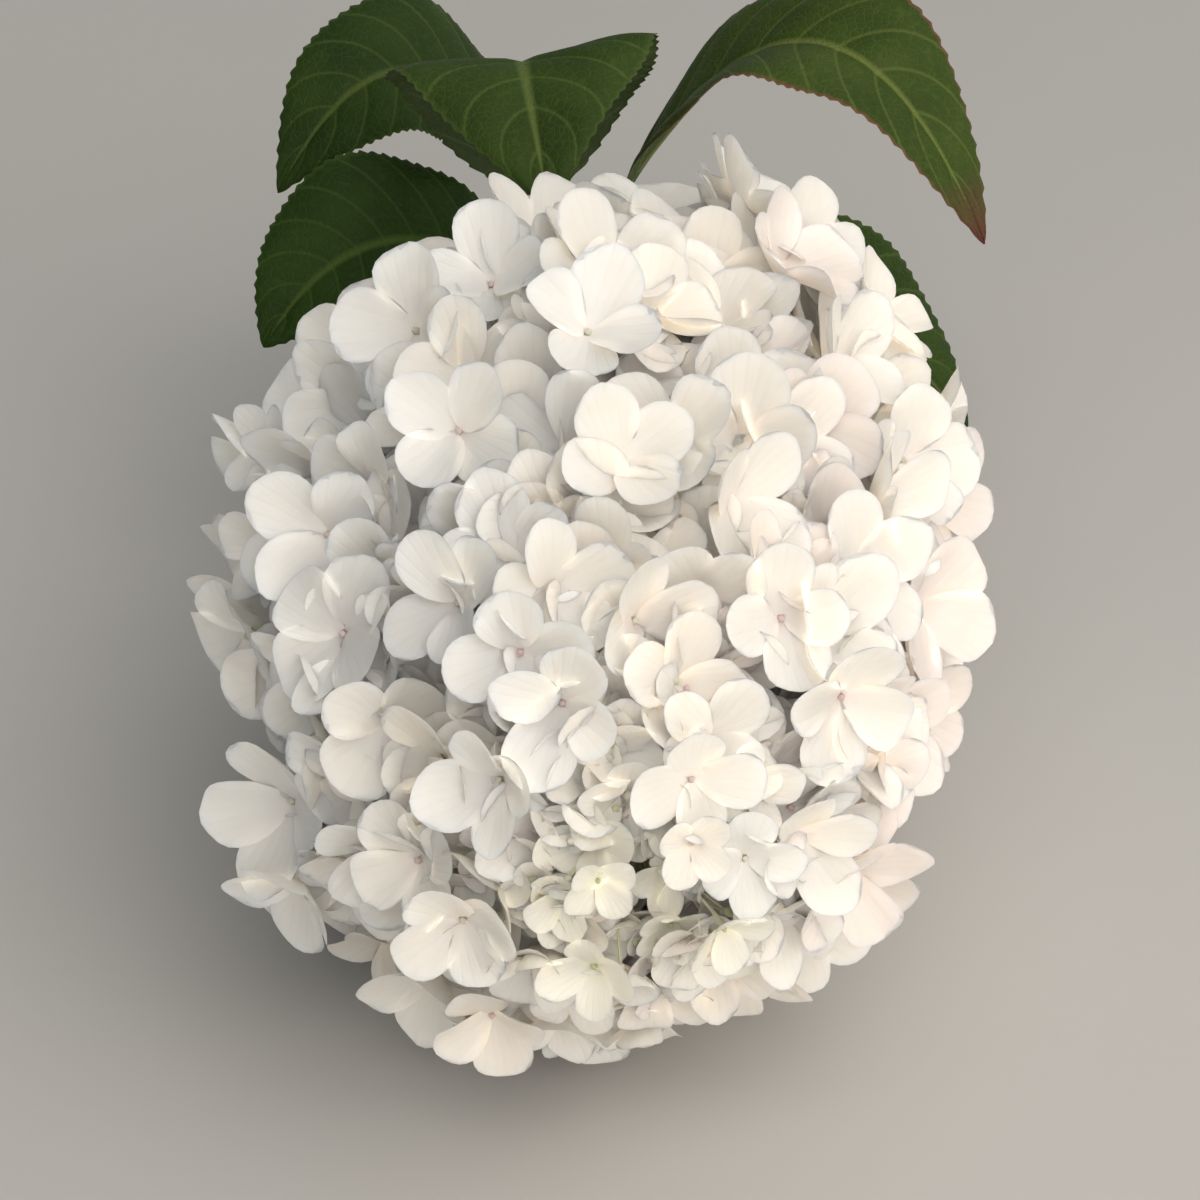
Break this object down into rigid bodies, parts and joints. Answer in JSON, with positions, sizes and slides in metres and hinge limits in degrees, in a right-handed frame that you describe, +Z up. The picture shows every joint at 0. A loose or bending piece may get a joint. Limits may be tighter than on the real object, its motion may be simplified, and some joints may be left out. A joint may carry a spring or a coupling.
{
  "type": "cut panicle hydrangea flower head",
  "caption": "Full, egg-shaped white flower head of a panicle hydrangea on its cut leafy stem, lying on its side, its tip towards the viewer.",
  "frame": {"origin": "on the floor, under the middle of the bounding box", "axes": "+Z up; the head's tip points to -Y and the cut end of the stem to +Y; X across"},
  "size_m": [0.1864, 0.376, 0.1659],
  "materials": {
    "sepals": "matte",
    "leaf": "satin",
    "stem": "matte"
  },
  "bodies": {
    "root": {"stem": "stem", "florets_01": "sepals", "florets_02": "sepals", "florets_03": "sepals", "florets_04": "sepals", "florets_05": "sepals", "florets_06": "sepals", "florets_07": "sepals", "florets_08": "sepals", "florets_09": "sepals", "florets_10": "sepals", "florets_11": "sepals", "florets_12": "sepals", "florets_13": "sepals", "florets_14": "sepals", "florets_15": "sepals", "florets_16": "sepals", "florets_17": "sepals", "florets_18": "sepals", "florets_19": "sepals", "florets_20": "sepals", "florets_21": "sepals", "florets_22": "sepals", "florets_23": "sepals", "florets_24": "sepals", "florets_25": "sepals", "florets_26": "sepals", "florets_27": "sepals", "florets_28": "sepals", "leaf_left": "leaf", "leaf_right": "leaf", "leaf_top": "leaf", "leaf_under": "leaf", "leaf_back_left": "leaf", "leaf_back_right": "leaf"}
  },
  "joints": []
}
